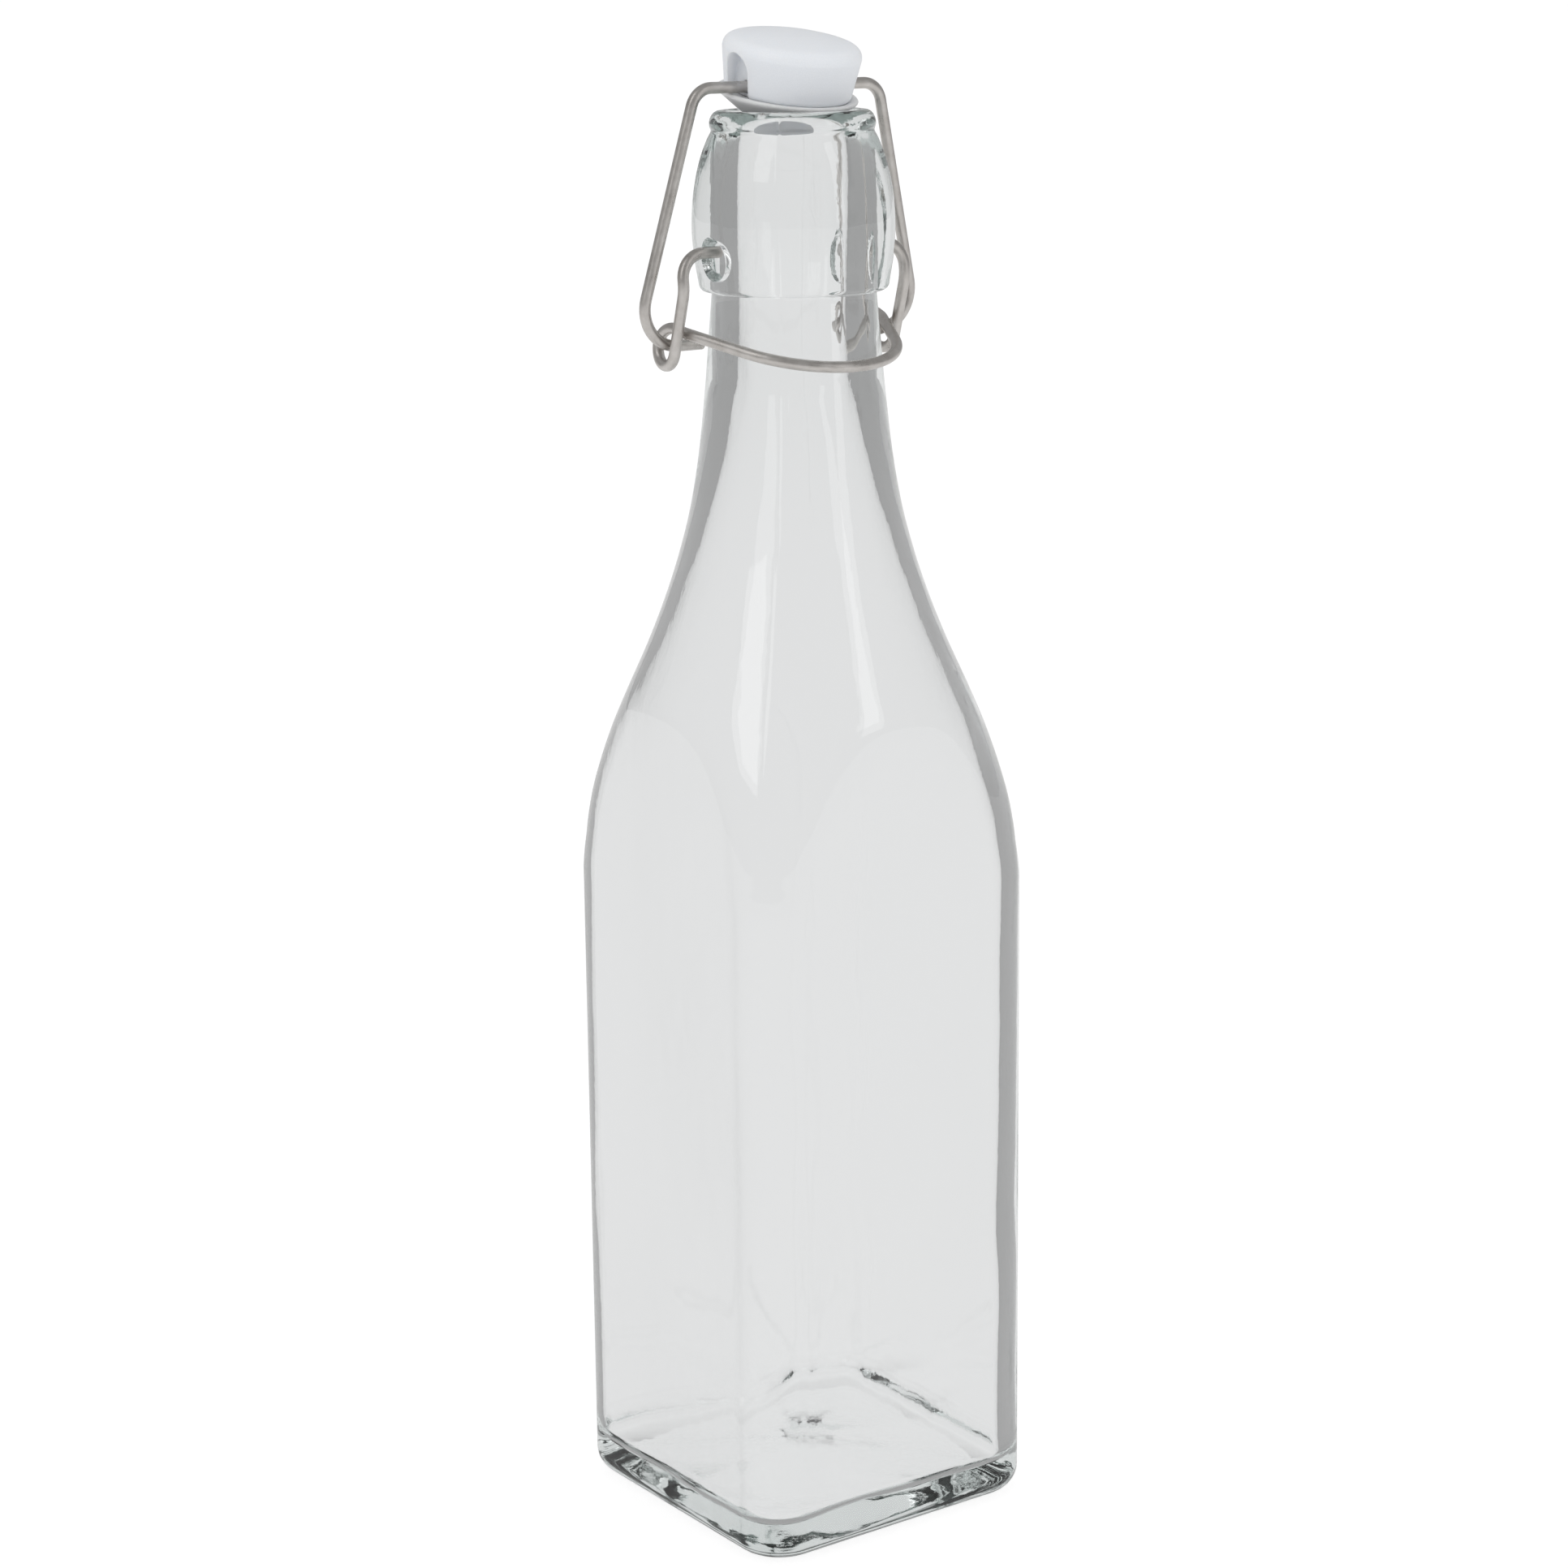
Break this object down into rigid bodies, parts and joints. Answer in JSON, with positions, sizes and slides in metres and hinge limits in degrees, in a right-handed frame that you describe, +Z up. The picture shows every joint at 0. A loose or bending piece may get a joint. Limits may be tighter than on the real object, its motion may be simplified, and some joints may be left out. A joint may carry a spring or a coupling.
{
  "type": "swing top bottle",
  "caption": "Square clear glass bottle with a round neck, closed by a white stopper with a sealing ring on a sprung wire bail and a lever with a handle ring.",
  "frame": {"origin": "the middle of the base, on the plane that the bottle stands on", "axes": "+Z up along the bottle; X runs from one closure socket to the other and is the axis that the closure turns about; the handle ring hangs on the -Y side, and the body's flat sides face X and Y"},
  "size_m": [0.062, 0.062, 0.2672],
  "materials": {
    "clear_glass": "clear pressed glass with a faint grey-green tint where it is thick",
    "white_plastic": "satin, slightly translucent moulded plastic",
    "silicone": "soft translucent silicone",
    "stainless_wire": "drawn stainless steel wire, satin"
  },
  "bodies": {
    "bottle": {"glass_bottle": "clear_glass"},
    "lever": {"lever_wire": "stainless_wire"},
    "bail": {"bail_wire": "stainless_wire"},
    "closure": {"stopper": "white_plastic", "sealing_gasket": "silicone"}
  },
  "joints": [
    {"name": "lever_turn", "type": "hinge", "parent": "bottle", "child": "lever", "pos_m": [0, 0, 0.2296], "axis": [-1, 0, 0], "range_deg": [0, 95]},
    {"name": "bail_turn", "type": "hinge", "parent": "lever", "child": "bail", "pos_m": [0, 0.0046, 0.2136], "axis": [-1, 0, 0], "range_deg": [-63, 0]},
    {"name": "stopper_tilt", "type": "hinge", "parent": "bail", "child": "closure", "pos_m": [0, 0.0011, 0.25725], "axis": [-1, 0, 0], "range_deg": [0, 15.5]}
  ],
  "couplings": [
    {"joint": "bail_turn", "follows": "lever_turn", "ratio": -0.66},
    {"joint": "stopper_tilt", "follows": "lever_turn", "ratio": 0.16}
  ]
}
